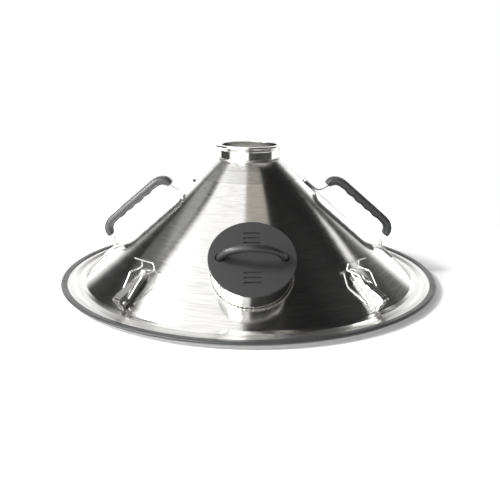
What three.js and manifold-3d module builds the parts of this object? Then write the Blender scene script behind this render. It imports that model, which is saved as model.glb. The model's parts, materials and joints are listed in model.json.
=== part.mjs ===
// Conical stainless-steel hood for a brewing kettle or fermenter. It stands on its locating ring.
// Millimetres, +Z up, origin on the axis in the plane that it stands on, side port towards -Y.
import * as THREE from "three";
import { mergeVertices } from "three/addons/utils/BufferGeometryUtils.js";
import Module from "manifold-3d";

const wasm = await Module();
wasm.setup();

// ---- driving dimensions ----
const GAP = 0.3; // left between neighbouring solids
const RIM_R = 335; // outside of the edge gasket
const RIM_Z = 9.5; // height of the brim's edge plane over the floor
const CONE_SLOPE = 0.848; // drop per unit of radius
const CONE_TOP_R = 52;
const CONE_TOP_Z = RIM_Z + 206;
const CONE_FOOT_R = 294; // where the cone turns out into the brim
const SHEET = 2; // wall of the cone and brim
const AXIS_SEGMENTS = 60; // facets of the large rings
const NECK_SEGMENTS = 40;
const WIRE_SIDES = 6;
const LINE_STEPS = 6; // along each curve of a handle

// The brim turns up out of a shallow valley, over a low bead, to a flat edge.
const BRIM = { footR: 300, valleyR: 308, beadR: 315, flatR: 320, edgeR: 331.5, edgeZ: RIM_Z - 0.2 };
const RING = { inner: 320, outer: 324, sheet: 2 };
const GASKET = { innerR: 324.6, crownR: 332, heelR: 332.5, toeR: 325.2 };

const NECK = { outer: 50.8, inner: 48.8, flange: 59.5, top: RIM_Z + 231, foot: RIM_Z + 201 };
const PORT = { footR: 221.1, outer: 60.9, inner: 58.9, lip: 62.8, mouth: 39.3, segments: 40 };
const PLUG = { face: 42.8, radius: 64.3, body: 58.2, depth: 20, wall: 6 };
const PULL = { halfSpan: 47, rise: 24.5, bar: 5.75, recess: 3 };

const HANDLE = { midR: 180.5, strap: 3, width: 20, gripWidth: 25, gripHalf: 7.5, reach: 41.5 };
const LATCH = { azimuth: 42.9, footR: 284.7, pinHeight: 8, pinR: 2 };
const LEVER = { half: 8, sheet: 1.2, length: 50, hingeTop: 18.7, tipTop: 7 };
const BAIL = { wire: 1.2, pivotY: 10, pivotZ: 8.5, shoulder: 14.7, barEnd: 31 };

const SLOPE_ANGLE = Math.atan(CONE_SLOPE);

// ---- finishes ----
const brushedSteel = new THREE.MeshStandardMaterial({ color: 0xb9babb, roughness: 0.32, metalness: 1 });
const polishedSteel = new THREE.MeshStandardMaterial({ color: 0xd0d1d2, roughness: 0.12, metalness: 1 });
const weldSteel = new THREE.MeshStandardMaterial({ color: 0xa4a19c, roughness: 0.45, metalness: 1 });
const greyRubber = new THREE.MeshStandardMaterial({ color: 0x3c3d3f, roughness: 0.6, metalness: 0 });
const blackRubber = new THREE.MeshStandardMaterial({ color: 0x2f3032, roughness: 0.7, metalness: 0 });

// ---- solids and meshes ----
function toSolid(geometry) {
  const bare = geometry.clone();
  bare.deleteAttribute("normal");
  bare.deleteAttribute("uv");
  const merged = mergeVertices(bare, 1e-4);
  const mesh = new wasm.Mesh({
    numProp: 3,
    vertProperties: merged.attributes.position.array,
    triVerts: new Uint32Array(merged.index.array),
  });
  return new wasm.Manifold(mesh);
}

function toGeometry(solid) {
  const mesh = solid.getMesh();
  const geometry = new THREE.BufferGeometry();
  geometry.setAttribute("position", new THREE.BufferAttribute(mesh.vertProperties, 3));
  geometry.setIndex(new THREE.BufferAttribute(mesh.triVerts, 1));
  geometry.computeVertexNormals();
  return geometry;
}

function cut(geometry, ...cutters) {
  const solid = cutters.reduce((left, cutter) => left.subtract(toSolid(cutter)), toSolid(geometry));
  return toGeometry(solid);
}

function join(geometry, ...others) {
  const solid = others.reduce((whole, other) => whole.add(toSolid(other)), toSolid(geometry));
  return toGeometry(solid);
}

function part(name, geometry, material) {
  const mesh = new THREE.Mesh(geometry, material);
  mesh.name = name;
  return mesh;
}

// Revolves [radius, height] points round +Z. The outline runs up the outside, so that it faces out.
function revolve(outline, segments) {
  const points = outline.map(([r, z]) => new THREE.Vector2(r, z));
  if (outline[0][0] > 0) points.push(points[0].clone());
  return new THREE.LatheGeometry(points, segments).rotateX(Math.PI / 2);
}

function rod(radius, length, sides) {
  return new THREE.CylinderGeometry(radius, radius, length, sides);
}

// A shape drawn in the Y-Z plane, extruded along X by the given width about x = 0.
function acrossX(shape, width) {
  const settings = { depth: width, bevelEnabled: false, steps: 1, curveSegments: 5 };
  const geometry = new THREE.ExtrudeGeometry(shape, settings);
  geometry.translate(0, 0, -width / 2);
  const swap = new THREE.Matrix4().makeBasis(
    new THREE.Vector3(0, 1, 0),
    new THREE.Vector3(0, 0, 1),
    new THREE.Vector3(1, 0, 0),
  );
  return geometry.applyMatrix4(swap);
}

function roundBar(path, radius, sides, steps) {
  const section = new THREE.Shape();
  for (let i = 0; i < sides; i += 1) {
    const turn = (2 * Math.PI * i) / sides;
    const corner = [radius * Math.cos(turn), radius * Math.sin(turn)];
    if (i === 0) section.moveTo(...corner);
    else section.lineTo(...corner);
  }
  return new THREE.ExtrudeGeometry(section, { steps, extrudePath: path, bevelEnabled: false });
}

function wire(points, radius, steps) {
  const path = new THREE.CatmullRomCurve3(points, false, "catmullrom", 0.12);
  return roundBar(path, radius, WIRE_SIDES, steps);
}

// ---- the cone's surface ----
const coneHeight = (r) => CONE_TOP_Z - CONE_SLOPE * (r - CONE_TOP_R);

// A frame on the cone: X along the ring, Y straight up the slope, Z square out of the sheet.
// Azimuth is counted from the front, -Y, towards +X.
function slopeFrame(azimuthDegrees, radius) {
  const azimuth = THREE.MathUtils.degToRad(azimuthDegrees);
  const out = new THREE.Vector3(Math.sin(azimuth), -Math.cos(azimuth), 0);
  const along = new THREE.Vector3(Math.cos(azimuth), Math.sin(azimuth), 0);
  const up = new THREE.Vector3(0, 0, 1);
  const slope = out.clone().multiplyScalar(-Math.cos(SLOPE_ANGLE));
  slope.addScaledVector(up, Math.sin(SLOPE_ANGLE));
  const normal = out.clone().multiplyScalar(Math.sin(SLOPE_ANGLE));
  normal.addScaledVector(up, Math.cos(SLOPE_ANGLE));
  const foot = out.clone().multiplyScalar(radius).addScaledVector(up, coneHeight(radius));
  return new THREE.Matrix4().makeBasis(along, slope, normal).setPosition(foot);
}

function groupAt(matrix) {
  const group = new THREE.Group();
  matrix.decompose(group.position, group.quaternion, group.scale);
  return group;
}

// ---- cone, brim and rim ----
function coneShellGeometry() {
  const top = CONE_TOP_R - 0.9;
  const under = SHEET / Math.cos(SLOPE_ANGLE);
  const brimTop = [
    [BRIM.footR, RIM_Z - 2.2],
    [BRIM.valleyR, RIM_Z - 2.4],
    [BRIM.beadR, RIM_Z],
    [BRIM.flatR, BRIM.edgeZ],
    [BRIM.edgeR, BRIM.edgeZ],
  ];
  const outline = [
    [CONE_FOOT_R - 1, coneHeight(CONE_FOOT_R - 1) - under],
    ...brimTop.map(([r, z]) => [r, z - SHEET]),
    ...brimTop.reverse(),
    [CONE_FOOT_R, coneHeight(CONE_FOOT_R)],
    [top, coneHeight(top)],
    [top, coneHeight(top) - under],
  ];
  const portHole = rod(PORT.inner, 40, PORT.segments).rotateX(Math.PI / 2);
  portHole.applyMatrix4(slopeFrame(0, PORT.footR));
  return cut(revolve(outline, AXIS_SEGMENTS), portHole);
}

// The band under the brim that drops into the vessel's mouth, with its foot hemmed inwards.
function locatingRingGeometry() {
  const { inner, outer, sheet } = RING;
  const top = BRIM.edgeZ - SHEET - GAP;
  const outline = [
    [inner, 0],
    [outer, 0],
    [outer, top],
    [outer - sheet, top],
    [outer - sheet, sheet],
    [inner, sheet],
  ];
  return revolve(outline, AXIS_SEGMENTS);
}

// A U-section of soft rubber pushed over the brim's edge.
function gasketGeometry() {
  const { innerR, crownR, heelR, toeR } = GASKET;
  const slotTop = BRIM.edgeZ + GAP;
  const slotFloor = BRIM.edgeZ - SHEET - GAP;
  const slotEnd = BRIM.edgeR + GAP;
  const outline = [
    [toeR, slotFloor - 1.6],
    [heelR, slotFloor - 0.9],
    [RIM_R, slotFloor + 1.4],
    [RIM_R, slotTop + 0.7],
    [crownR, slotTop + 1.9],
    [innerR, slotTop + 1.5],
    [innerR, slotTop],
    [slotEnd, slotTop],
    [slotEnd, slotFloor],
    [toeR, slotFloor],
  ];
  return revolve(outline, AXIS_SEGMENTS);
}

// ---- neck ----
function ferruleGeometry() {
  const { outer, inner, flange, top, foot } = NECK;
  const grooveR = 54.6;
  const outline = [
    [inner, foot],
    [outer, foot],
    [outer, top - 9.2],
    [outer + 2, top - 6.2],
    [flange, top - 2.8],
    [flange, top],
    [grooveR + 1.6, top],
    [grooveR + 0.8, top - 1.2],
    [grooveR - 0.8, top - 1.2],
    [grooveR - 1.6, top],
    [inner, top],
  ];
  return revolve(outline, NECK_SEGMENTS);
}

function neckCollarGeometry() {
  const inner = NECK.outer + 0.35;
  const outer = inner + 3.1;
  const outline = [
    [inner, coneHeight(inner) + 0.4],
    [outer, coneHeight(outer) + 0.4],
    [outer, coneHeight(outer) + 2.2],
    [outer - 1, coneHeight(outer) + 4.4],
    [inner, coneHeight(outer) + 5.6],
  ];
  return revolve(outline, NECK_SEGMENTS);
}

// ---- side port ----
// Height over the port frame's plane at which the cone's surface lies, at (x, y) in that frame.
function coneUnderPort(x, y) {
  const frame = slopeFrame(0, PORT.footR);
  let height = 0;
  for (let step = 0; step < 8; step += 1) {
    const point = new THREE.Vector3(x, y, height).applyMatrix4(frame);
    const above = point.z - coneHeight(Math.hypot(point.x, point.y));
    height -= above * Math.cos(SLOPE_ANGLE);
  }
  return height;
}

function coneCutter() {
  const lift = GAP / Math.cos(SLOPE_ANGLE);
  const outline = [
    [0, RIM_Z - 60],
    [CONE_FOOT_R, RIM_Z - 60],
    [CONE_FOOT_R, coneHeight(CONE_FOOT_R) + lift],
    [CONE_TOP_R, coneHeight(CONE_TOP_R) + lift],
    [0, coneHeight(CONE_TOP_R) + lift],
  ];
  return revolve(outline, AXIS_SEGMENTS);
}

function portTubeGeometry() {
  const { outer, inner, lip, mouth, segments } = PORT;
  const outline = [
    [inner, -16],
    [outer, -16],
    [outer, mouth - 3.4],
    [lip, mouth - 2],
    [lip, mouth],
    [inner, mouth],
  ];
  const toPort = slopeFrame(0, PORT.footR);
  const cutter = coneCutter().applyMatrix4(toPort.clone().invert());
  return cut(revolve(outline, segments), cutter);
}

// A weld bead laid round the foot of the port tube, on the cone's own surface.
function portBeadGeometry() {
  const count = PORT.segments;
  const sides = 6;
  const bead = 1.7;
  const ringR = PORT.outer + GAP + bead;
  const positions = [];
  const triangles = [];
  for (let i = 0; i < count; i += 1) {
    const turn = (2 * Math.PI * i) / count;
    const x = Math.cos(turn);
    const y = Math.sin(turn);
    const height = coneUnderPort(x * ringR, y * ringR) + GAP + bead;
    for (let j = 0; j < sides; j += 1) {
      const around = (2 * Math.PI * j) / sides;
      const r = ringR + bead * Math.cos(around);
      positions.push(x * r, y * r, height + bead * Math.sin(around));
      const a = i * sides + j;
      const b = i * sides + ((j + 1) % sides);
      const c = ((i + 1) % count) * sides + j;
      const d = ((i + 1) % count) * sides + ((j + 1) % sides);
      triangles.push(a, c, b, b, c, d);
    }
  }
  const geometry = new THREE.BufferGeometry();
  geometry.setAttribute("position", new THREE.Float32BufferAttribute(positions, 3));
  geometry.setIndex(triangles);
  geometry.computeVertexNormals();
  return geometry;
}

function plugGeometry() {
  const { face, radius, body, depth, wall, recess } = { ...PLUG, recess: PULL.recess };
  const under = PORT.mouth + GAP;
  const outline = [
    [0, face - recess - wall],
    [body - wall, face - recess - wall],
    [body - wall, under - depth],
    [body - 1, under - depth],
    [body, under],
    [radius - 0.8, under],
    [radius, under + 0.8],
    [radius, face - 1],
    [radius - 1, face],
    [0, face],
  ];
  const pocket = (side) => {
    const drill = rod(PULL.bar + 1.3, 2 * recess, 16).rotateX(Math.PI / 2);
    return drill.translate(side * PULL.halfSpan, 0, face);
  };
  return cut(revolve(outline, PORT.segments), pocket(-1), pocket(1));
}

function pullGeometry() {
  const { halfSpan, rise, bar, recess } = PULL;
  const start = PLUG.face - recess + GAP + 1.2;
  const crown = start + (PLUG.face + rise - start) / 0.75;
  const path = new THREE.CubicBezierCurve3(
    new THREE.Vector3(-halfSpan, 0, start),
    new THREE.Vector3(-halfSpan + 7, 0, crown),
    new THREE.Vector3(halfSpan - 7, 0, crown),
    new THREE.Vector3(halfSpan, 0, start),
  );
  return roundBar(path, bar, 10, 20);
}

// ---- lifting handles ----
// Half of the handle's centre line in its slope frame, from the middle down to one foot.
function handleLine() {
  const foot = HANDLE.strap / 2 + GAP;
  const line = new THREE.Path();
  line.moveTo(0, HANDLE.reach);
  line.lineTo(48, HANDLE.reach);
  line.bezierCurveTo(60, HANDLE.reach, 71, 36, 71.5, 22);
  line.bezierCurveTo(71.8, 12, 77, foot, 91, foot);
  line.lineTo(111.5, foot);
  return line;
}

// The closed outline that lies the given distance above and below a line of points.
function bandOutline(points, half) {
  const offset = (index, distance) => {
    const before = points[Math.max(index - 1, 0)];
    const after = points[Math.min(index + 1, points.length - 1)];
    const along = after.clone().sub(before).normalize();
    return new THREE.Vector2(points[index].x - along.y * distance, points[index].y + along.x * distance);
  };
  const upper = points.map((point, index) => offset(index, half));
  const lower = points.map((point, index) => offset(index, -half));
  return new THREE.Shape([...lower, ...upper.reverse()]);
}

function mirrored(half) {
  const other = half.slice(1).map((point) => new THREE.Vector2(-point.x, point.y));
  return [...other.reverse(), ...half];
}

function strapGeometry() {
  const points = mirrored(handleLine().getPoints(LINE_STEPS));
  return acrossX(bandOutline(points, HANDLE.strap / 2), HANDLE.width);
}

// A closed sleeve through a row of sections. Each section lies in its own frame and has an outline
// and a hole, both given as [x, y] corners that run the same way round.
function sleeve(sections) {
  const positions = [];
  const triangles = [];
  const place = (section, [x, y]) => {
    const { centre, across } = section;
    positions.push(x, centre.x + y * across.x, centre.y + y * across.y);
  };
  const outerCount = sections[0].outline.length;
  const holeCount = sections[0].hole.length;
  const stride = outerCount + holeCount;
  sections.forEach((section) => {
    section.outline.forEach((corner) => place(section, corner));
    section.hole.forEach((corner) => place(section, corner));
  });
  const wall = (row, first, count, flip) => {
    for (let i = 0; i < count; i += 1) {
      const a = row * stride + first + i;
      const b = row * stride + first + ((i + 1) % count);
      const quad = [a, b, a + stride, b, b + stride, a + stride];
      triangles.push(...(flip ? quad.reverse() : quad));
    }
  };
  for (let row = 0; row + 1 < sections.length; row += 1) {
    wall(row, 0, outerCount, true);
    wall(row, outerCount, holeCount, false);
  }
  const cap = (row, flip) => {
    const flat = (corners) => corners.map(([x, y]) => new THREE.Vector2(x, y));
    const { outline, hole } = sections[row];
    THREE.ShapeUtils.triangulateShape(flat(outline), [flat(hole)]).forEach(([a, b, c]) => {
      const corners = flip ? [a, c, b] : [a, b, c];
      triangles.push(...corners.map((corner) => corner + row * stride));
    });
  };
  cap(0, false);
  cap(sections.length - 1, true);
  const geometry = new THREE.BufferGeometry();
  geometry.setAttribute("position", new THREE.Float32BufferAttribute(positions, 3));
  geometry.setIndex(triangles);
  geometry.computeVertexNormals();
  return geometry;
}

// The moulded grip: round outside, with shallow finger waves on the side that faces the cone.
function gripGeometry() {
  const bend = handleLine().getPoints(LINE_STEPS).filter((point) => point.x > 1 && point.y > 21.9);
  const straight = [];
  for (let i = 0; i < 7; i += 1) straight.push(new THREE.Vector2(i * 6.85, HANDLE.reach));
  const points = mirrored([...straight, ...bend]);
  const slotX = HANDLE.width / 2 + GAP;
  const slotY = HANDLE.strap / 2 + GAP;
  const sides = 10;
  const sections = points.map((centre, index) => {
    const before = points[Math.max(index - 1, 0)];
    const after = points[Math.min(index + 1, points.length - 1)];
    const along = after.clone().sub(before).normalize();
    const taper = Math.min(1, 0.72 + (centre.y - 22) / 30);
    const finger = Math.abs(centre.x) < 46 ? 0.9 * Math.cos((2 * Math.PI * centre.x) / 20.5) : 0;
    const outline = [];
    for (let i = 0; i < sides; i += 1) {
      const turn = (2 * Math.PI * (i + 0.5)) / sides;
      const round = (value) => Math.sign(value) * Math.sqrt(Math.abs(value));
      const x = (HANDLE.gripWidth / 2) * round(Math.cos(turn));
      const y = HANDLE.gripHalf * taper * round(Math.sin(turn));
      outline.push([x, y < 0 ? y + finger : y]);
    }
    const hole = [[slotX, -slotY], [slotX, slotY], [-slotX, slotY], [-slotX, -slotY]];
    return { centre, across: new THREE.Vector2(-along.y, along.x), outline, hole };
  });
  return sleeve(sections);
}

function handleGroup(side, azimuth) {
  const group = groupAt(slopeFrame(azimuth, HANDLE.midR));
  group.add(part(`handle_strap_${side}`, strapGeometry(), polishedSteel));
  group.add(part(`handle_grip_${side}`, gripGeometry(), greyRubber));
  return group;
}

// ---- toggle latches ----
function latchBaseGeometry() {
  const pin = LATCH.pinHeight;
  const inside = LEVER.half - LEVER.sheet - GAP;
  const plate = new THREE.Shape();
  plate.moveTo(-8, GAP);
  plate.lineTo(62, GAP);
  plate.lineTo(62, GAP + 1.5);
  plate.lineTo(26, GAP + 1.5);
  plate.lineTo(4, pin + 3.4);
  plate.absarc(0, pin, 4.6, 0.3 * Math.PI, Math.PI, false);
  plate.lineTo(-8, GAP + 1.5);
  const channel = acrossX(plate, 2 * inside);
  const hollow = new THREE.BoxGeometry(2 * (inside - LEVER.sheet), 80, 20);
  hollow.translate(0, 24, GAP + 1.5 + 10);
  const pinHole = rod(LATCH.pinR + GAP, 30, 10).rotateZ(Math.PI / 2).translate(0, 0, pin);
  return cut(channel, hollow, pinHole);
}

function leverGeometry() {
  const { half, sheet, length, hingeTop, tipTop } = LEVER;
  const flank = (hingeTop - 0.9) / 2;
  const side = new THREE.Shape();
  side.moveTo(2.5, hingeTop - 2 * flank);
  side.lineTo(length, 1.8);
  side.lineTo(length, tipTop);
  side.lineTo(2.5, hingeTop);
  side.absarc(2.5, hingeTop - flank, flank, Math.PI / 2, 1.5 * Math.PI, false);
  const fall = (hingeTop - tipTop) / (length - 2.5);
  const topUnder = (y) => hingeTop - sheet * 1.03 - fall * (y - 2.5);
  const hollow = new THREE.Shape();
  hollow.moveTo(-20, -10);
  hollow.lineTo(length + 1, -10);
  hollow.lineTo(length + 1, topUnder(length + 1));
  hollow.lineTo(-1, topUnder(-1));
  hollow.lineTo(-1, hingeTop + 10);
  hollow.lineTo(-20, hingeTop + 10);
  const tab = new THREE.Shape();
  tab.moveTo(length - 2, tipTop - sheet);
  tab.lineTo(length + 11, tipTop + 3 - sheet);
  tab.lineTo(length + 11, tipTop + 3);
  tab.lineTo(length - 2, tipTop);
  const body = join(acrossX(side, 2 * half), acrossX(tab, 11));
  const pinHole = rod(LATCH.pinR + GAP, 30, 10).rotateZ(Math.PI / 2);
  const bailHole = rod(BAIL.wire + GAP, 30, 8).rotateZ(Math.PI / 2);
  pinHole.translate(0, 0, LATCH.pinHeight);
  bailHole.translate(0, BAIL.pivotY, BAIL.pivotZ);
  return cut(body, acrossX(hollow, 2 * (half - sheet)), pinHole, bailHole);
}

function rivetGeometry() {
  const shank = LEVER.half + GAP;
  const outline = [
    [0, -shank - 1.2],
    [2.6, -shank - 1.2],
    [3.4, -shank - 0.4],
    [3.4, -shank],
    [LATCH.pinR, -shank],
    [LATCH.pinR, shank],
    [3.4, shank],
    [3.4, shank + 0.4],
    [2.6, shank + 1.2],
    [0, shank + 1.2],
  ];
  return revolve(outline, 10).rotateY(Math.PI / 2).translate(0, 0, LATCH.pinHeight);
}

// The wire loop: in through the lever's flank, up beside it, down to a knee, up to the crossbar and back.
function bailGeometry(outerSide) {
  const { wire: radius, pivotY, pivotZ, shoulder, barEnd } = BAIL;
  const tip = LEVER.half - LEVER.sheet + 0.3;
  const leg = LEVER.half + radius + 0.6;
  const sideRun = (side) => [
    new THREE.Vector3(side * leg, pivotY, pivotZ),
    new THREE.Vector3(side * shoulder, 48.4, 17),
    new THREE.Vector3(side * shoulder, 68, 3.6),
    new THREE.Vector3(side * (shoulder - 1), 74, 13),
  ];
  const loop = wire([...sideRun(-1), ...sideRun(1).reverse()], radius, 34);
  const pin = (side) => {
    const shaft = rod(radius, leg - tip, WIRE_SIDES + 2).rotateZ(Math.PI / 2);
    return shaft.translate((side * (leg + tip)) / 2, pivotY, pivotZ);
  };
  const overhang = rod(radius, barEnd, WIRE_SIDES).rotateZ(Math.PI / 2);
  overhang.translate((outerSide * barEnd) / 2, 74.2, 13.2);
  return join(loop, pin(-1), pin(1), overhang);
}

function latchGroup(place, azimuth, outerSide) {
  const group = groupAt(slopeFrame(azimuth, LATCH.footR));
  group.add(part(`latch_${place}_base`, latchBaseGeometry(), brushedSteel));
  group.add(part(`latch_${place}_lever`, leverGeometry(), polishedSteel));
  group.add(part(`latch_${place}_rivet`, rivetGeometry(), polishedSteel));
  group.add(part(`latch_${place}_bail`, bailGeometry(outerSide), polishedSteel));
  return group;
}

// ---- the object ----
const hood = new THREE.Group();
hood.add(part("cone_shell", coneShellGeometry(), brushedSteel));
hood.add(part("locating_ring", locatingRingGeometry(), polishedSteel));
hood.add(part("rim_gasket", gasketGeometry(), greyRubber));
hood.add(part("neck_ferrule", ferruleGeometry(), polishedSteel));
hood.add(part("neck_weld_collar", neckCollarGeometry(), weldSteel));

const port = groupAt(slopeFrame(0, PORT.footR));
port.add(part("port_tube", portTubeGeometry(), polishedSteel));
port.add(part("port_weld_bead", portBeadGeometry(), weldSteel));
port.add(part("port_plug", plugGeometry(), blackRubber));
port.add(part("plug_pull", pullGeometry(), blackRubber));
hood.add(port);

hood.add(handleGroup("left", -90));
hood.add(handleGroup("right", 90));

hood.add(latchGroup("front_left", -LATCH.azimuth, -1));
hood.add(latchGroup("front_right", LATCH.azimuth, 1));
hood.add(latchGroup("back_right", 180 - LATCH.azimuth, -1));
hood.add(latchGroup("back_left", LATCH.azimuth - 180, 1));

export default hood;
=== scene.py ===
import json
import math

import bpy
from mathutils import Matrix, Vector

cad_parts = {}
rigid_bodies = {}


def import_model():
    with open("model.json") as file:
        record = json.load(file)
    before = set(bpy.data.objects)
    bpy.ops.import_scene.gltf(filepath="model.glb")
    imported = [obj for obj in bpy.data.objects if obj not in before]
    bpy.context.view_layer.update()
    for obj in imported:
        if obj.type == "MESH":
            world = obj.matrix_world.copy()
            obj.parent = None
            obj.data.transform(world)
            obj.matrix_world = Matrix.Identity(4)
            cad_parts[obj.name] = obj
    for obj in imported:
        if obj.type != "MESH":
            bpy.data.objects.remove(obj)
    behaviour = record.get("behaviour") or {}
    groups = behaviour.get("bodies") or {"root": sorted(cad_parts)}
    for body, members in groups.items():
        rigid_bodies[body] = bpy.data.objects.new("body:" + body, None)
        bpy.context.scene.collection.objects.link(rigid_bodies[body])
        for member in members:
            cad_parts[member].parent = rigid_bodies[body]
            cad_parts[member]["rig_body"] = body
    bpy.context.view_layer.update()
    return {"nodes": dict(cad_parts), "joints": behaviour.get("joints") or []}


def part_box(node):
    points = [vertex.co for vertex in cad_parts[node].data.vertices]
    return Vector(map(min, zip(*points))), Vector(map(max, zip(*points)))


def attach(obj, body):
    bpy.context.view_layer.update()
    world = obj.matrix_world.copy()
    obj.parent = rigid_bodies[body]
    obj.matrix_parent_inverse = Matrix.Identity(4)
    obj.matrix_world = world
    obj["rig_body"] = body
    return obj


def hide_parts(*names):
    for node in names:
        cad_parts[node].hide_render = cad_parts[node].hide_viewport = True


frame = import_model()

MM = 0.001
GAP = 0.3  # the CAD model's clearance between neighbouring parts


# ---- dimensions taken from the frame ----
def joint(name):
    return next(j for j in frame["joints"] if j["name"] == name)


def top_of(node):
    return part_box(node)[1].z / MM


def reach_of(node):
    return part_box(node)[1].x / MM


PLUG_AXIS = Vector(joint("plug_lift")["axis"])
SLOPE = math.atan2(-PLUG_AXIS.y, PLUG_AXIS.z)  # the cone's angle over the floor
TAN_SLOPE = math.tan(SLOPE)
RIM_R = reach_of("rim_gasket")
NECK_TOP = top_of("neck_ferrule")
NECK_R = 50.8
CONE_TOP_R = NECK_R + 0.3
CONE_TOP_Z = top_of("cone_shell")
CONE_FOOT_R = 294.0
INNER_SEAM_R = 68.4  # the two faint rings round the cone below the neck
OUTER_SEAM_R = 88.5
SHEET = 2.0
EDGE_Z = top_of("locating_ring") + GAP + SHEET  # top of the brim's flat edge
EDGE_R = 331.5
BRIM_Z = EDGE_Z + 0.2  # top of the low bead on the brim
BRIM_FOOT_R = 300.0
BRIM_VALLEY_R = 308.0
BRIM_BEAD_R = 315.0
BRIM_FLAT_R = 320.0

RING_INNER = 320.0
RING_OUTER = 324.0
RING_SHEET = 2.0
GASKET_INNER = 324.6
GASKET_TOE = 325.2
GASKET_CROWN = 332.0
GASKET_HEEL = 332.5

NECK_WALL = 2.0
NECK_HEIGHT = 30.0
GROOVE_R = 54.6  # the gasket groove in the ferrule's face
GROOVE_DEPTH = 1.2

PORT_R = 221.1  # where the port's axis meets the cone
PORT_OUTER = 60.9
PORT_INNER = 58.9
PORT_LIP = 62.8
PORT_MOUTH = 39.3
PLUG_FACE = 42.8
PLUG_R = 64.3
PLUG_BODY = 58.2
PLUG_DEPTH = 20.0
PULL_HALF_SPAN = 47.0
PULL_BAR = 5.75
PULL_RECESS = 3.0
PULL_RISE = 24.5
RIB_LENGTH = 25.0
RIB_WIDTH = 4.0
RIB_DEPTH = 1.4
RIB_STEP = 8.4
RIBS_FROM_MIDDLE = 34.0

HANDLE_R = 180.5
STRAP = 3.0
STRAP_WIDTH = 20.0
GRIP_WIDTH = 25.0
GRIP_HALF = 7.5
HANDLE_REACH = 41.5
STRAP_STRAIGHT = 48.0  # half of the strap's straight run under the grip
STRAP_BEND = 71.5
STRAP_BEND_HEIGHT = 22.0
STRAP_FOOT = 91.0
STRAP_FOOT_LENGTH = 20.5
FINGER_PITCH = 20.5
FINGER_DEPTH = 0.9

PIN_HEIGHT = 8.0
PIN_R = 2.0
LEVER_HALF = 8.0
LEVER_SHEET = 1.2
LEVER_LENGTH = 50.0
HINGE_TOP = 18.7
TIP_TOP = 7.0
WIRE_R = 1.2
BAIL_PIVOT = Vector((0, 10.0, 8.5))
BAIL_SHOULDER = 14.7
BAR_END = 31.0
TAB_LENGTH = 11.0


def cone_height(radius):
    return CONE_TOP_Z - TAN_SLOPE * (radius - CONE_TOP_R)


def slope_frame(azimuth, radius):
    """X along the ring, Y up the slope, Z out of the sheet. Azimuth counts from -Y towards +X."""
    out = Vector((math.sin(azimuth), -math.cos(azimuth), 0))
    along = Vector((math.cos(azimuth), math.sin(azimuth), 0))
    up = Vector((0, 0, 1))
    climb = up * math.sin(SLOPE) - out * math.cos(SLOPE)
    normal = up * math.cos(SLOPE) + out * math.sin(SLOPE)
    basis = Matrix((along, climb, normal)).transposed().to_4x4()
    return Matrix.Translation(out * radius + up * cone_height(radius)) @ basis


# ---- outlines and surfaces ----
def rounded(points, radii, steps=5):
    """The closed outline through the points, each corner turned into an arc of its own radius."""
    outline = []
    count = len(points)
    for i, radius in enumerate(radii):
        corner = Vector(points[i])
        before = Vector(points[i - 1]) - corner
        after = Vector(points[(i + 1) % count]) - corner
        half = before.angle(after) / 2
        if radius <= 0 or half > math.radians(89.5):
            outline.append(tuple(corner))
            continue
        reach = min(radius / math.tan(half), 0.46 * before.length, 0.46 * after.length)
        start = corner + before.normalized() * reach
        end = corner + after.normalized() * reach
        middle = (before.normalized() + after.normalized()).normalized()
        centre = corner + middle * (reach / math.cos(half))
        first = start - centre
        turn = first.angle_signed(end - centre)
        for k in range(steps + 1):
            angle = -turn * k / steps
            x = first.x * math.cos(angle) - first.y * math.sin(angle)
            y = first.x * math.sin(angle) + first.y * math.cos(angle)
            outline.append((centre.x + x, centre.y + y))
    return outline


def grid_faces(rows, columns, close_rows):
    faces = []
    for i in range(rows if close_rows else rows - 1):
        for j in range(columns):
            a = i * columns + j
            b = i * columns + (j + 1) % columns
            c = ((i + 1) % rows) * columns + (j + 1) % columns
            d = ((i + 1) % rows) * columns + j
            faces.append((a, b, c, d))
    return faces


def revolved(outline, segments, ripple=None):
    """A ring from a closed (radius, height) outline. ripple(turn) swells the outline about its centre."""
    centre_r = sum(r for r, _ in outline) / len(outline)
    centre_z = sum(z for _, z in outline) / len(outline)
    vertices = []
    for r, z in outline:
        for k in range(segments):
            turn = 2 * math.pi * k / segments
            swell = ripple(turn) if ripple else 1
            radius = centre_r + (r - centre_r) * swell
            height = centre_z + (z - centre_z) * swell
            vertices.append((radius * math.cos(turn), radius * math.sin(turn), height))
    return vertices, grid_faces(len(outline), segments, True)


def turned(outline, segments):
    """A solid of revolution from an open outline that starts and ends off the axis, with flat caps."""
    vertices = []
    for r, z in outline:
        for k in range(segments):
            turn = 2 * math.pi * k / segments
            vertices.append((r * math.cos(turn), r * math.sin(turn), z))
    faces = grid_faces(len(outline), segments, False)
    last = (len(outline) - 1) * segments
    faces.append(tuple(reversed(range(segments))))
    faces.append(tuple(range(last, last + segments)))
    return vertices, faces


def prism(outline, width):
    """A (y, z) outline extruded along X, centred on x = 0."""
    count = len(outline)
    vertices = [(-width / 2, y, z) for y, z in outline] + [(width / 2, y, z) for y, z in outline]
    faces = [(i, (i + 1) % count, count + (i + 1) % count, count + i) for i in range(count)]
    faces.append(tuple(reversed(range(count))))
    faces.append(tuple(range(count, 2 * count)))
    return vertices, faces


def swept(rings):
    """Closed rings of equal size joined into a tube with capped ends."""
    count = len(rings[0])
    vertices = [point for ring in rings for point in ring]
    faces = grid_faces(len(rings), count, False)
    last = (len(rings) - 1) * count
    faces.append(tuple(reversed(range(count))))
    faces.append(tuple(range(last, last + count)))
    return vertices, faces


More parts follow.
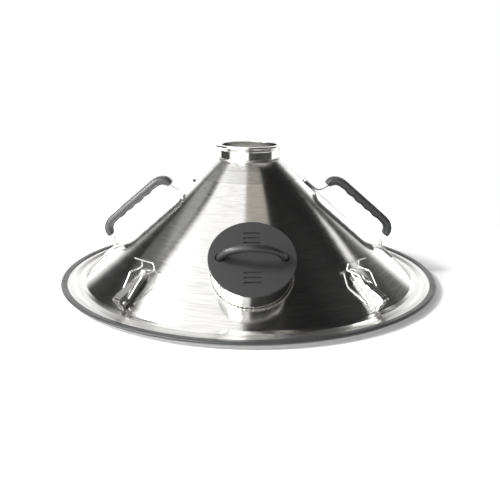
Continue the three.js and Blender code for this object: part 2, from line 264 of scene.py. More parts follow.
def wire_rings(path, radius, sides=16):
    """Rings round a 3-D path, carried along without twist, with domed ends."""
    rings = []
    side = None
    for i, point in enumerate(path):
        ahead = path[min(i + 1, len(path) - 1)] - path[max(i - 1, 0)]
        ahead = ahead.normalized()
        guess = side if side else ahead.orthogonal()
        side = (guess - ahead * guess.dot(ahead)).normalized()
        other = ahead.cross(side)
        ends = []
        if i == 0:
            ends = [(-0.9, 0.35), (-0.6, 0.75)]
        ends.append((0, 1))
        if i == len(path) - 1:
            ends += [(0.6, 0.75), (0.9, 0.35)]
        for along, scale in ends:
            centre = point + ahead * radius * along
            ring = []
            for k in range(sides):
                turn = 2 * math.pi * k / sides
                spoke = side * math.cos(turn) + other * math.sin(turn)
                ring.append(tuple(centre + spoke * radius * scale))
            rings.append(ring)
    return rings


def soft_path(points, radius, steps=6):
    """A 3-D line through the points with its corners rounded."""
    path = [points[0]]
    for i in range(1, len(points) - 1):
        before = points[i - 1] - points[i]
        after = points[i + 1] - points[i]
        reach = min(radius, 0.45 * before.length, 0.45 * after.length)
        start = points[i] + before.normalized() * reach
        end = points[i] + after.normalized() * reach
        for k in range(steps + 1):
            t = k / steps
            path.append(start.lerp(points[i], t).lerp(points[i].lerp(end, t), t))
    path.append(points[-1])
    return path


def bezier(points, steps):
    """Points along a plane cubic, leaving out its first."""
    line = []
    for k in range(1, steps + 1):
        t = k / steps
        weights = ((1 - t) ** 3, 3 * t * (1 - t) ** 2, 3 * t * t * (1 - t), t**3)
        line.append(sum((Vector(p) * w for p, w in zip(points, weights)), Vector((0, 0))))
    return line


def direction_at(line, i):
    return (line[min(i + 1, len(line) - 1)] - line[max(i - 1, 0)]).normalized()


# ---- objects ----
def mesh_object(name, surface, matrix=Matrix.Identity(4)):
    vertices, faces = surface
    mesh = bpy.data.meshes.new(name)
    mesh.from_pydata([tuple(Vector(v) * MM) for v in vertices], [], faces)
    to_metres = matrix.copy()
    to_metres.translation *= MM
    mesh.transform(to_metres)
    obj = bpy.data.objects.new(name, mesh)
    bpy.context.scene.collection.objects.link(obj)
    facing_out(mesh)
    return obj


def facing_out(mesh):
    """Turns a closed mesh right way out, judged by its signed volume."""
    mesh.calc_loop_triangles()
    volume = 0
    for triangle in mesh.loop_triangles:
        a, b, c = (mesh.vertices[i].co for i in triangle.vertices)
        volume += a.dot(b.cross(c))
    if volume < 0:
        mesh.flip_normals()


def settle(obj):
    """Applies the object's modifiers to its mesh."""
    bpy.context.view_layer.update()
    evaluated = obj.evaluated_get(bpy.context.evaluated_depsgraph_get())
    mesh = bpy.data.meshes.new_from_object(evaluated)
    obj.modifiers.clear()
    obj.data = mesh


def combine(obj, tool, operation="DIFFERENCE"):
    modifier = obj.modifiers.new("combine", "BOOLEAN")
    modifier.operation = operation
    modifier.solver = "EXACT"
    modifier.object = tool
    settle(obj)
    bpy.data.objects.remove(tool)


def soften(obj, width, segments=2, angle=35):
    modifier = obj.modifiers.new("soften", "BEVEL")
    modifier.width = width * MM
    modifier.segments = segments
    modifier.limit_method = "ANGLE"
    modifier.angle_limit = math.radians(angle)
    modifier.use_clamp_overlap = True
    settle(obj)


def dress(obj, node, material, smooth=32):
    """Shades the piece, its flats kept flat, and puts it in its CAD node's place on that node's body."""
    obj.data.shade_smooth()
    obj.data.set_sharp_from_angle(angle=math.radians(smooth))
    flats = obj.modifiers.new("flats", "WEIGHTED_NORMAL")
    flats.keep_sharp = True
    settle(obj)
    obj.data.materials.clear()
    obj.data.materials.append(material)
    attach(obj, frame["nodes"][node]["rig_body"])
    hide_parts(node)


# ---- materials ----
class Nodes:
    """A node tree under construction."""

    def __init__(self, tree):
        self.tree = tree

    def set(self, node, socket, value):
        if isinstance(value, bpy.types.NodeSocket):
            self.tree.links.new(value, node.inputs[socket])
        else:
            node.inputs[socket].default_value = value

    def add(self, kind, inputs=None, **settings):
        node = self.tree.nodes.new("ShaderNode" + kind)
        for key, value in settings.items():
            setattr(node, key, value)
        for socket, value in (inputs or {}).items():
            self.set(node, socket, value)
        return node

    def math(self, operation, a, b=0.0):
        return self.add("Math", {0: a, 1: b}, operation=operation).outputs[0]

    def turn_about_z(self, parts):
        """The azimuth of a point or direction given as X, Y and Z, from -Y towards +X, in radians."""
        return self.math("ARCTAN2", parts["X"], self.math("MULTIPLY", parts["Y"], -1))


class Shader(Nodes):
    """A node material under construction."""

    def __init__(self, name, colour, roughness, metallic=0.0):
        self.material = bpy.data.materials.new(name)
        self.material.use_nodes = True
        super().__init__(self.material.node_tree)
        self.surface = self.tree.nodes["Principled BSDF"]
        self.set(self.surface, "Base Color", (*colour, 1))
        self.set(self.surface, "Roughness", roughness)
        self.set(self.surface, "Metallic", metallic)
        self.place = self.add("TexCoord").outputs["Object"]

    def noise(self, place, scale, detail):
        inputs = {"Vector": place, "Scale": scale, "Detail": detail, "Roughness": 0.55}
        return self.add("TexNoise", inputs).outputs["Fac"]

    def ramp(self, value, low, high, start, end):
        """value, from start to end, mapped to low to high and clamped."""
        inputs = {"Value": value, "From Min": start, "From Max": end, "To Min": low, "To Max": high}
        return self.add("MapRange", inputs).outputs["Result"]

    def tint(self, factor, dark, light):
        """A mix of two colours, each a colour socket or plain red, green and blue."""
        values = {"Factor": factor, "A": dark, "B": light}
        node = self.add("Mix", data_type="RGBA")
        for socket in node.inputs:
            if not socket.enabled:
                continue
            value = values[socket.name]
            if isinstance(value, bpy.types.NodeSocket):
                self.tree.links.new(value, socket)
            else:
                socket.default_value = (*value, 1)
        return next(out for out in node.outputs if out.enabled)

    def bump(self, height, distance, strength=1.0):
        inputs = {"Height": height, "Distance": distance, "Strength": strength}
        self.set(self.surface, "Normal", self.add("Bump", inputs).outputs["Normal"])


def ring_place(shader):
    """(radius, turn, height) of a point about the vertical axis, for marks that run round it."""
    parts = shader.add("SeparateXYZ", {0: shader.place}).outputs
    flat = shader.add("CombineXYZ", {"X": parts["X"], "Y": parts["Y"]}).outputs[0]
    radius = shader.add("VectorMath", {0: flat}, operation="LENGTH").outputs["Value"]
    return radius, shader.turn_about_z(parts), parts["Z"]


def seam(shader, radius, at):
    """1 along a thin line round the cone at the given radius, and 0 elsewhere."""
    off = shader.math("ABSOLUTE", shader.math("SUBTRACT", radius, at * MM))
    return shader.ramp(off, 1, 0, 0.0003, 0.0012)


def dull_near_neck(shader, radius):
    """A level that falls from the neck to 0 in two steps, at the two rings below the neck."""
    inner_zone = shader.ramp(radius, 0.2, 0, 0.067, 0.069)
    outer_zone = shader.ramp(radius, 0.25, 0, 0.087, 0.09)
    return shader.math("ADD", inner_zone, outer_zone)


def brushed_cone_material():
    shader = Shader("brushed_steel_cone", (0.74, 0.735, 0.72), 0.2, 1)
    radius, turn, height = ring_place(shader)
    slope_run = shader.math("SUBTRACT", radius, height)

    def round_marks(stretch, scale, detail):
        place = shader.add("CombineXYZ", {"X": slope_run, "Y": shader.math("MULTIPLY", turn, stretch)})
        return shader.noise(place.outputs[0], scale, detail)

    lines = round_marks(0.006, 700, 3)
    strokes = round_marks(0.012, 440, 3)
    bands = round_marks(0.05, 50, 3)
    smudge = shader.noise(shader.place, 7, 4)
    wear = shader.math("ADD", shader.math("MULTIPLY", strokes, 0.7), shader.math("MULTIPLY", bands, 0.3))
    seams = shader.math("ADD", seam(shader, radius, INNER_SEAM_R), seam(shader, radius, OUTER_SEAM_R))
    tone = shader.tint(shader.ramp(wear, 0, 1, 0.36, 0.6), (0.62, 0.615, 0.6), (0.78, 0.775, 0.76))
    tone = shader.tint(shader.math("MULTIPLY", seams, 0.35), tone, (0.3, 0.295, 0.28))
    by_neck = dull_near_neck(shader, radius)
    tone = shader.tint(by_neck, tone, (0.2, 0.2, 0.2))
    shader.set(shader.surface, "Base Color", tone)
    shine = shader.math("MULTIPLY", wear, 0.1)
    shine = shader.math("ADD", shine, shader.ramp(smudge, 0.1, 0.12, 0.3, 0.7))
    shine = shader.math("ADD", shine, shader.math("MULTIPLY", by_neck, 0.2))
    shine = shader.math("ADD", shine, shader.ramp(radius, 0, 0.14, 0.294, 0.302))
    shader.set(shader.surface, "Roughness", shine)
    marks = shader.math("ADD", shader.math("MULTIPLY", lines, 0.3), strokes)
    shader.bump(marks, 0.00004, 0.35)
    shader.set(shader.surface, "Anisotropic", 0.6)
    shader.set(shader.surface, "Anisotropic Rotation", 0.25)
    tangent = shader.add("Tangent", direction_type="RADIAL", axis="Z")
    shader.set(shader.surface, "Tangent", tangent.outputs[0])
    return shader.material


def polished_material(name, colour, roughness, scuffs):
    shader = Shader(name, colour, roughness, 1)
    haze = shader.noise(shader.place, 55, 4)
    scratch_at = shader.add("Mapping", {"Vector": shader.place, "Scale": (1, 9, 30)}).outputs[0]
    scratch = shader.noise(scratch_at, 160, 5)
    mixed = shader.math("ADD", shader.math("MULTIPLY", haze, 0.5), shader.math("MULTIPLY", scratch, 0.5))
    shine = shader.ramp(mixed, roughness - scuffs, roughness + scuffs, 0.3, 0.7)
    shader.set(shader.surface, "Roughness", shine)
    dark = tuple(channel * 0.93 for channel in colour)
    shader.set(shader.surface, "Base Color", shader.tint(mixed, dark, colour))
    shader.bump(scratch, 0.00002, 0.3)
    return shader.material


def weld_material():
    shader = Shader("welded_steel", (0.6, 0.585, 0.56), 0.3, 1)
    heat = shader.noise(shader.place, 140, 4)
    tone = shader.tint(heat, (0.33, 0.31, 0.29), (0.74, 0.72, 0.69))
    shader.set(shader.surface, "Base Color", tone)
    shader.set(shader.surface, "Roughness", shader.ramp(heat, 0.42, 0.18, 0.3, 0.7))
    shader.bump(shader.noise(shader.place, 900, 3), 0.0002, 0.4)
    return shader.material


def rubber_material(name, dark, light, roughness, grain):
    shader = Shader(name, light, roughness)
    dust = shader.noise(shader.place, 30, 5)
    pores = shader.noise(shader.place, grain, 2)
    mixed = shader.math("ADD", shader.math("MULTIPLY", dust, 0.7), shader.math("MULTIPLY", pores, 0.3))
    shader.set(shader.surface, "Base Color", shader.tint(mixed, dark, light))
    shine = shader.ramp(dust, roughness - 0.06, roughness + 0.08, 0.3, 0.7)
    shader.set(shader.surface, "Roughness", shine)
    shader.bump(pores, 0.00015, 0.35)
    return shader.material


STEEL_COLOUR = (0.78, 0.775, 0.76)
MATERIALS = {
    "cone": brushed_cone_material(),
    "polished": polished_material("polished_steel", STEEL_COLOUR, 0.1, 0.04),
    "latch": polished_material("latch_steel", STEEL_COLOUR, 0.2, 0.06),
    "weld": weld_material(),
    "grip": rubber_material("grip_silicone", (0.045, 0.046, 0.048), (0.07, 0.071, 0.073), 0.42, 700),
    "gasket": rubber_material("gasket_silicone", (0.035, 0.036, 0.038), (0.06, 0.061, 0.062), 0.36, 500),
    "plug": rubber_material("plug_rubber", (0.016, 0.0165, 0.017), (0.028, 0.0285, 0.029), 0.66, 600),
    "pull": rubber_material("pull_rubber", (0.018, 0.0185, 0.019), (0.03, 0.0305, 0.031), 0.42, 800),
}


# ---- cone, brim and rim ----
def build_cone():
    under = SHEET / math.cos(SLOPE)
    foot = (CONE_FOOT_R, cone_height(CONE_FOOT_R))
    foot_under = (CONE_FOOT_R - 1, cone_height(CONE_FOOT_R - 1) - under)
    top = (CONE_TOP_R, cone_height(CONE_TOP_R))
    brim = [
        (BRIM_FOOT_R, BRIM_Z - 2.2),
        (BRIM_VALLEY_R, BRIM_Z - 2.4),
        (BRIM_BEAD_R, BRIM_Z),
        (BRIM_FLAT_R, EDGE_Z),
        (EDGE_R, EDGE_Z),
    ]
    inside = [(r, z - SHEET) for r, z in brim]
    points = [foot_under, *inside, *reversed(brim), foot, top, (top[0], top[1] - under)]
    radii = [5, 7, 5, 5, 3, 0.9, 0.9, 3, 5, 5, 7, 5, 0.4, 0.4]
    hood = mesh_object("cone_shell_visual", revolved(rounded(points, radii), 360))
    hole = [(PORT_INNER, -20), (PORT_INNER, 20)]
    cutter = mesh_object("port_cutter", turned(hole, 128), slope_frame(0, PORT_R))
    combine(hood, cutter)
    dress(hood, "cone_shell", MATERIALS["cone"])


def build_locating_ring():
    upper = EDGE_Z - SHEET - GAP
    wall = RING_OUTER - RING_SHEET
    points = [
        (RING_INNER, 0),
        (RING_OUTER, 0),
        (RING_OUTER, upper),
        (wall, upper),
        (wall, RING_SHEET),
        (RING_INNER, RING_SHEET),
    ]
    outline = rounded(points, [0.8, 1.2, 0.3, 0.3, 0.6, 0.8])
    ring = mesh_object("locating_ring_visual", revolved(outline, 300))
    dress(ring, "locating_ring", MATERIALS["polished"])


def build_gasket():
    slot_top = EDGE_Z + GAP
    slot_floor = EDGE_Z - SHEET - GAP
    slot_end = EDGE_R + GAP
    points = [
        (GASKET_TOE, slot_floor - 1.6),
        (GASKET_HEEL, slot_floor - 0.9),
        (RIM_R, slot_floor + 1.4),
        (RIM_R, slot_top + 0.7),
        (GASKET_CROWN, slot_top + 1.9),
        (GASKET_INNER, slot_top + 1.5),
        (GASKET_INNER, slot_top),
        (slot_end, slot_top),
        (slot_end, slot_floor),
        (GASKET_TOE, slot_floor),
    ]
    radii = [0.5, 1.6, 1.6, 1.6, 1.8, 1.0, 0.25, 0.2, 0.2, 0.3]
    gasket = mesh_object("rim_gasket_visual", revolved(rounded(points, radii), 360))
    dress(gasket, "rim_gasket", MATERIALS["gasket"])


# ---- neck ----
def build_neck():
    inner = NECK_R - NECK_WALL
    flange = reach_of("neck_ferrule")
    foot = NECK_TOP - NECK_HEIGHT
    groove_floor = NECK_TOP - GROOVE_DEPTH
    points = [
        (inner, foot),
        (NECK_R, foot),
        (NECK_R, NECK_TOP - 9.2),
        (NECK_R + 2, NECK_TOP - 6.2),
        (flange, NECK_TOP - 2.8),
        (flange, NECK_TOP),
        (GROOVE_R + 1.6, NECK_TOP),
        (GROOVE_R + 0.8, groove_floor),
        (GROOVE_R - 0.8, groove_floor),
        (GROOVE_R - 1.6, NECK_TOP),
        (inner, NECK_TOP),
    ]
    radii = [0.2, 0.2, 2.5, 2, 0.8, 0.7, 0.5, 0.4, 0.4, 0.5, 0.6]
    ferrule = mesh_object("neck_ferrule_visual", revolved(rounded(points, radii), 240))
    dress(ferrule, "neck_ferrule", MATERIALS["polished"])


def build_neck_weld():
    inner = NECK_R + 0.15
    outer = inner + 3.2
    foot = cone_height(outer) + 0.1
    points = [
        (inner, cone_height(inner) + 0.1),
        (outer, foot),
        (outer - 0.2, foot + 1.6),
        (outer - 1.4, foot + 3.8),
        (inner, foot + 5.0),
    ]

    def ripple(turn):
        return 0.94 + 0.06 * abs(math.sin(45 * turn)) - 0.05 * math.sin(7 * turn + 1)

    outline = rounded(points, [0.1, 0.6, 1.4, 1.4, 0.3])
    collar = mesh_object("neck_weld_collar_visual", revolved(outline, 540, ripple))
    dress(collar, "neck_weld_collar", MATERIALS["weld"], 60)


# ---- side port ----
def cone_under_port(x, y):
    """How far the cone's surface lies over the port frame's plane, at (x, y) in that frame."""
    placed = slope_frame(0, PORT_R)
    height = 0.0
    for _ in range(8):
        point = placed @ Vector((x, y, height))
        above = point.z - cone_height(math.hypot(point.x, point.y))
        height -= above * math.cos(SLOPE)
    return height


def build_port_tube():
    """A tube whose foot follows the cone, with a rolled lip at its mouth."""
    segments = 180
    wall = [
        (PORT_OUTER, None),
        (PORT_OUTER, PORT_MOUTH - 5),
        (PORT_OUTER, PORT_MOUTH - 3.6),
        (PORT_OUTER + 0.6, PORT_MOUTH - 2.7),
        (PORT_LIP - 0.4, PORT_MOUTH - 2.1),
        (PORT_LIP, PORT_MOUTH - 1.6),
        (PORT_LIP, PORT_MOUTH - 0.5),
        (PORT_LIP - 0.4, PORT_MOUTH),
        (PORT_INNER + 0.5, PORT_MOUTH),
        (PORT_INNER, PORT_MOUTH - 0.5),
        (PORT_INNER, PORT_MOUTH - 3),
        (PORT_INNER, None),
    ]
    vertices = []
    for radius, height in wall:
        for k in range(segments):
            turn = 2 * math.pi * k / segments
            x, y = radius * math.cos(turn), radius * math.sin(turn)
            foot = cone_under_port(x, y) + 0.05
            vertices.append((x, y, foot if height is None else height))
    surface = vertices, grid_faces(len(wall), segments, True)
    tube = mesh_object("port_tube_visual", surface, slope_frame(0, PORT_R))
    dress(tube, "port_tube", MATERIALS["polished"])


def build_port_weld():
    """A laid bead round the tube's foot: a torus on the cone with the scales of the weld."""
    segments = 420
    sides = 12
    scales = 60
    bead_radius = 1.3
    ring = PORT_OUTER + GAP + 1.4
    vertices = []
    for k in range(segments):
        turn = 2 * math.pi * k / segments
        scale = (scales * turn / (2 * math.pi)) % 1
        bead = bead_radius * (0.7 + 0.3 * math.sqrt(1 - (2 * scale - 1) ** 2 * 0.96))
        bead *= 1 + 0.06 * math.sin(5 * turn + 0.7)
        x, y = math.cos(turn), math.sin(turn)
        height = cone_under_port(x * ring, y * ring) + GAP + 1.1
        for j in range(sides):
            around = 2 * math.pi * j / sides
            r = ring + bead * math.cos(around)
            vertices.append((x * r, y * r, height + bead * math.sin(around)))
    surface = vertices, grid_faces(segments, sides, True)
    bead_ring = mesh_object("port_weld_bead_visual", surface, slope_frame(0, PORT_R))
    dress(bead_ring, "port_weld_bead", MATERIALS["weld"], 60)


def rounded_slot(length, width, depth):
    """A round-ended bar, centred on the origin, that reaches the given depth below it and above it."""
    outline = []
    for k in range(24):
        turn = 2 * math.pi * k / 24
        shift = (length - width) / 2 * (1 if math.cos(turn) > 0 else -1)
        outline.append((shift + width / 2 * math.cos(turn), width / 2 * math.sin(turn)))
    rings = [[(x, y, z) for x, y in outline] for z in (-depth, depth)]
    return swept(rings)


def build_plug():
    """The moulded plug, with a pocket round each foot of the pull and short grip ribs sunk in its face."""
    placed = slope_frame(0, PORT_R)
    under = PORT_MOUTH + GAP
    floor = PLUG_FACE - PULL_RECESS - 6
    hollow = PLUG_BODY - 6
    cap_r = 12
    points = [
        (cap_r, floor),
        (hollow, floor),
        (hollow, under - PLUG_DEPTH),
        (PLUG_BODY - 1, under - PLUG_DEPTH),
        (PLUG_BODY, under),
        (PLUG_R, under),
        (PLUG_R, PLUG_FACE),
        (cap_r, PLUG_FACE),
    ]
    outline = rounded(points, [0, 2, 1.5, 1.5, 0.4, 0.6, 1.1, 0])
    plug = mesh_object("port_plug_visual", turned(outline, 200), placed)
    pocket_r = PULL_BAR + 1.3
    drill = [(pocket_r, -PULL_RECESS), (pocket_r, PULL_RECESS)]
    for side in (-1, 1):
        at = placed @ Matrix.Translation((side * PULL_HALF_SPAN, 0, PLUG_FACE))
        combine(plug, mesh_object("pocket", turned(drill, 40), at))
        for rib in (-1, 0, 1):
            climb = side * RIBS_FROM_MIDDLE + rib * RIB_STEP
            at = placed @ Matrix.Translation((0, climb, PLUG_FACE))
            combine(plug, mesh_object("rib", rounded_slot(RIB_LENGTH, RIB_WIDTH, RIB_DEPTH), at))
    soften(plug, 0.35, 2, 50)
    dress(plug, "port_plug", MATERIALS["plug"], 40)


def build_pull():
    """The carrying loop: an arched round bar with softened ends."""
    steps = 64
    sides = 28
    start = PLUG_FACE - PULL_RECESS + GAP + 0.3
    crown = start + (PLUG_FACE + PULL_RISE - start) / 0.75
    span = PULL_HALF_SPAN
    controls = [(-span, start), (7 - span, crown), (span - 7, crown), (span, start)]
    line = [Vector(controls[0])] + bezier(controls, steps)
    rings = []
    for i, point in enumerate(line):
        ahead = direction_at(line, i)
        across = Vector((-ahead.y, ahead.x))
        ring = []
        for k in range(sides):
            turn = 2 * math.pi * k / sides
            lift = across * PULL_BAR * 0.98 * math.sin(turn)
            ring.append((point.x + lift.x, PULL_BAR * math.cos(turn), point.y + lift.y))
        rings.append(ring)
    pull = mesh_object("plug_pull_visual", swept(rings), slope_frame(0, PORT_R))
    soften(pull, 0.8, 3, 50)
    dress(pull, "plug_pull", MATERIALS["pull"], 50)


# ---- handles ----
def handle_half_line(steps):
    """Half of the strap's centre line as (up the slope, off the cone), from the middle to a foot."""
    foot = STRAP / 2 + GAP
    bend = (STRAP_BEND, STRAP_BEND_HEIGHT)
    line = [Vector((STRAP_STRAIGHT * k / 16, HANDLE_REACH)) for k in range(17)]
    line += bezier([(STRAP_STRAIGHT, HANDLE_REACH), (60, HANDLE_REACH), (71, 36), bend], steps)
    line += bezier([bend, (71.8, 12), (77, foot), (STRAP_FOOT, foot)], steps)
    line += [Vector((STRAP_FOOT + STRAP_FOOT_LENGTH * k / 12, foot)) for k in range(1, 13)]
    return line


def both_ways(half):
    return [Vector((-p.x, p.y)) for p in reversed(half[1:])] + half


def build_strap(side, placed):
    line = both_ways(handle_half_line(20))
    end = line[-1].x
    corner = 5.0
    rings = []
    for i, point in enumerate(line):
        ahead = direction_at(line, i)
        across = Vector((-ahead.y, ahead.x))
        into_corner = max(0.0, corner - (end - abs(point.x)))
        half = STRAP_WIDTH / 2 - corner + math.sqrt(max(corner**2 - into_corner**2, 0.3))
        rim = 0.8
        flat = [(half, STRAP / 2), (-half, STRAP / 2), (-half, -STRAP / 2), (half, -STRAP / 2)]
        section = rounded(flat, [rim] * 4, 4)
        rings.append([(x, *(point + across * y)) for x, y in section])
    strap = mesh_object(f"handle_strap_{side}_visual", swept(rings), placed)
    dress(strap, f"handle_strap_{side}", MATERIALS["polished"])


def power_curve(half_x, half_y, power, count=44):
    """A superellipse outline: power 2 is an ellipse, and higher powers are squarer."""
    outline = []
    for k in range(count):
        turn = 2 * math.pi * (k + 0.5) / count
        c, s = math.cos(turn), math.sin(turn)
        x = math.copysign(abs(c) ** (2 / power), c)
        y = math.copysign(abs(s) ** (2 / power), s)
        outline.append((half_x * x, half_y * y))
    return outline


def build_grip(side, placed):
    """The moulded grip over the strap, with finger waves towards the cone and rounded ends."""
    half = [p for p in handle_half_line(26) if p.y > STRAP_BEND_HEIGHT - 0.1]
    line = both_ways(half)
    lip = 1.6
    hole = power_curve(STRAP_WIDTH / 2 + 0.25, STRAP / 2 + 0.25, 12)
    outside = []
    tunnel = []
    run = [0.0]
    for a, b in zip(line, line[1:]):
        run.append(run[-1] + (b - a).length)
    for i, point in enumerate(line):
        ahead = direction_at(line, i)
        across = Vector((-ahead.y, ahead.x))
        to_end = min(run[i], run[-1] - run[i])
        tuck = lip - math.sqrt(max(lip**2 - max(lip - to_end, 0) ** 2, 0))
        taper = min(1, 0.72 + (point.y - STRAP_BEND_HEIGHT) / 30)
        finger = FINGER_DEPTH * math.cos(2 * math.pi * point.x / FINGER_PITCH)
        if abs(point.x) >= 2.25 * FINGER_PITCH:
            finger = 0
        outline = power_curve(GRIP_WIDTH / 2 - tuck, GRIP_HALF * taper - tuck, 2.9)
        waved = [(x, y + finger * min(1, -y / 4) if y < 0 else y) for x, y in outline]
        outside.append([(x, *(point + across * y)) for x, y in waved])
        tunnel.append([(x, *(point + across * y)) for x, y in hole])
    rings = outside + tunnel[::-1]
    count = len(hole)
    surface = [v for ring in rings for v in ring], grid_faces(len(rings), count, True)
    grip = mesh_object(f"handle_grip_{side}_visual", surface, placed)
    dress(grip, f"handle_grip_{side}", MATERIALS["grip"], 50)


# ---- toggle latches ----
def bore(radius, height, y, placed):
    across = Matrix.Rotation(math.pi / 2, 4, "Y")
    at = placed @ Matrix.Translation((0, y, height)) @ across
    return mesh_object("bore", turned([(radius, -15), (radius, 15)], 32), at)


def build_latch_base(place, placed):
    inside = LEVER_HALF - LEVER_SHEET - GAP
    floor = GAP + 1.5
    side = [(-8, GAP), (62, GAP), (62, floor), (26, floor), (4.5, PIN_HEIGHT + 4.6)]
    side += [(-4.6, PIN_HEIGHT + 4.6), (-4.6, PIN_HEIGHT - 2), (-8, floor)]
    outline = rounded(side, [0.3, 0.3, 0.6, 6, 5, 4.5, 2, 0.6], 8)
    base = mesh_object(f"latch_{place}_base_visual", prism(outline, 2 * inside), placed)
    hollow = [(-30, floor), (70, floor), (70, 30), (-30, 30)]
    combine(base, mesh_object("hollow", prism(hollow, 2 * (inside - LEVER_SHEET)), placed))
    combine(base, bore(PIN_R + GAP, PIN_HEIGHT, 0, placed))
    soften(base, 0.3)
    dress(base, f"latch_{place}_base", MATERIALS["latch"], 22)


def build_lever(place, placed):
    """A folded channel: two flanks, a sloping back and a finger tab at its tip."""
    side = [
        (-6.4, HINGE_TOP),
        (-6.4, 0.9),
        (4, 0.9),
        (LEVER_LENGTH, 1.8),
        (LEVER_LENGTH, TIP_TOP),
        (3, HINGE_TOP),
    ]
    outline = rounded(side, [8.6, 8.6, 3, 1, 0.6, 3], 10)
    lever = mesh_object(f"latch_{place}_lever_visual", prism(outline, 2 * LEVER_HALF), placed)
    tip_y = LEVER_LENGTH + TAB_LENGTH
    tab = []
    for y, z, half in (
        (LEVER_LENGTH - 3, TIP_TOP - 0.1, 6.9),
        (LEVER_LENGTH + 1, TIP_TOP, 6.6),
        (LEVER_LENGTH + 7, TIP_TOP + 1.5, 5.6),
        (tip_y - 1.2, TIP_TOP + 2.7, 4.6),
        (tip_y, TIP_TOP + 3, 3.4),
    ):
        low = z - LEVER_SHEET
        tab.append([(-half, y, low), (half, y, low), (half, y, z), (-half, y, z)])
    combine(lever, mesh_object("tab", swept(tab), placed), "UNION")
    fall = (HINGE_TOP - TIP_TOP) / (LEVER_LENGTH - 2.5)
    ceiling = HINGE_TOP - LEVER_SHEET * 1.03

    def under(y):
        return ceiling - fall * (y - 2.5)

    far = LEVER_LENGTH + 1
    hollow = [(-20, -10), (far, -10), (far, under(far)), (-1, under(-1)), (-1, 40), (-20, 40)]
    width = 2 * (LEVER_HALF - LEVER_SHEET)
    combine(lever, mesh_object("hollow", prism(hollow, width), placed))
    combine(lever, bore(PIN_R + GAP, PIN_HEIGHT, 0, placed))
    combine(lever, bore(WIRE_R + GAP, BAIL_PIVOT.z, BAIL_PIVOT.y, placed))
    soften(lever, 0.3)
    dress(lever, f"latch_{place}_lever", MATERIALS["latch"], 22)


def build_rivet(place, placed):
    """The hinge pin, closed at both ends by a head with a dimple."""
    shank = LEVER_HALF + GAP
    head = [(0.35, 0.6), (0.9, 0.65), (1.3, 1.1), (1.7, 1.2), (2.5, 1.15), (3.1, 0.85), (3.4, 0.3), (3.4, 0)]
    upper = [(r, shank + z) for r, z in head] + [(PIN_R, shank)]
    outline = [(r, -z) for r, z in upper] + [(r, z) for r, z in reversed(upper)]
    across = Matrix.Rotation(math.pi / 2, 4, "Y")
    at = placed @ Matrix.Translation((0, 0, PIN_HEIGHT)) @ across
    rivet = mesh_object(f"latch_{place}_rivet_visual", turned(outline, 40), at)
    dress(rivet, f"latch_{place}_rivet", MATERIALS["latch"])


def build_bail(place, placed, outer):
    """A bent wire: one leg runs into the crossbar, which passes over the other leg and sticks out."""
    pin_tip = LEVER_HALF - LEVER_SHEET + 0.3
    leg = LEVER_HALF + WIRE_R + 0.6
    shoulder = BAIL_SHOULDER

    def leg_points(side):
        return [
            Vector((side * pin_tip, BAIL_PIVOT.y, BAIL_PIVOT.z)),
            Vector((side * leg, BAIL_PIVOT.y, BAIL_PIVOT.z)),
            Vector((side * shoulder, 48.4, 17)),
            Vector((side * shoulder, 68, 3.6)),
        ]

    crossbar = [Vector((-outer * (shoulder - 0.6), 74.2, 13.2)), Vector((outer * BAR_END, 74.2, 13.2))]
    long_wire = soft_path(leg_points(-outer) + crossbar, 3.5)
    short_wire = soft_path(leg_points(outer) + [Vector((outer * (shoulder - 0.8), 74, 12.6))], 3.5)
    bail = mesh_object(f"latch_{place}_bail_visual", swept(wire_rings(long_wire, WIRE_R)), placed)
    combine(bail, mesh_object("leg", swept(wire_rings(short_wire, WIRE_R)), placed), "UNION")
    dress(bail, f"latch_{place}_bail", MATERIALS["latch"], 45)


def build_latch(place, outer):
    """Each latch stands in the frame that its hinge joint gives."""
    hinge = joint(f"lever_{place}_open")
    axis = Vector(hinge["axis"])
    azimuth = math.atan2(axis.y, axis.x)
    pin = Vector(hinge["pos_m"]) / MM
    placed = slope_frame(azimuth, CONE_FOOT_R)
    placed.translation = pin - placed.to_3x3() @ Vector((0, 0, PIN_HEIGHT))
    build_latch_base(place, placed)
    build_lever(place, placed)
    build_rivet(place, placed)
    build_bail(place, placed, outer)


# ---- studio ----
def build_floor():
    """A round white table top. Its glow towards its edge stands in for a lit paper sweep, and its painted
    glow under the hood stands in for light bouncing about inside the cone.
    """
    radius = 0.72
    sides = 96
    ring = [2 * math.pi * k / sides for k in range(sides)]
    mesh = bpy.data.meshes.new("floor")
    mesh.from_pydata([(radius * math.cos(t), radius * math.sin(t), 0) for t in ring], [], [range(sides)])
    floor = bpy.data.objects.new("floor", mesh)
    bpy.context.scene.collection.objects.link(floor)
    shader = Shader("studio_floor", (0.8, 0.8, 0.8), 0.9)
    from_axis = shader.add("VectorMath", {0: shader.place}, operation="LENGTH").outputs["Value"]
    # Painted light: the floor under the hood glows, so the inside of the cone seen through the neck looks
    # lit.
    painted_glow_under_hood = shader.ramp(from_axis, 0.8, 0, 0.2, 0.22)
    glow = shader.math("ADD", painted_glow_under_hood, shader.ramp(from_axis, 0.25, 1, 0.36, 0.48))
    shader.set(shader.surface, "Emission Color", (1, 1, 1, 1))
    shader.set(shader.surface, "Emission Strength", glow)
    mesh.materials.append(shader.material)


def add_card(name, centre, aim, size, radiance, colour=(1, 1, 1)):
    """A soft rectangular light that faces the aim point and is not seen by the camera itself."""
    light = bpy.data.lights.new(name, "AREA")
    light.shape = "RECTANGLE"
    light.size, light.size_y = size
    light.energy = radiance * math.pi * size[0] * size[1]
    light.color = colour
    card = bpy.data.objects.new(name, light)
    bpy.context.scene.collection.objects.link(card)
    card.location = centre
    card.rotation_euler = (Vector(aim) - Vector(centre)).to_track_quat("-Z", "Y").to_euler()
    card.visible_camera = False
    return card


def add_ceiling_card(name, x, y, size, radiance, colour=(1, 1, 1)):
    ceiling = 1.4
    add_card(name, (x, y, ceiling), (x, y, 0), size, radiance, colour)


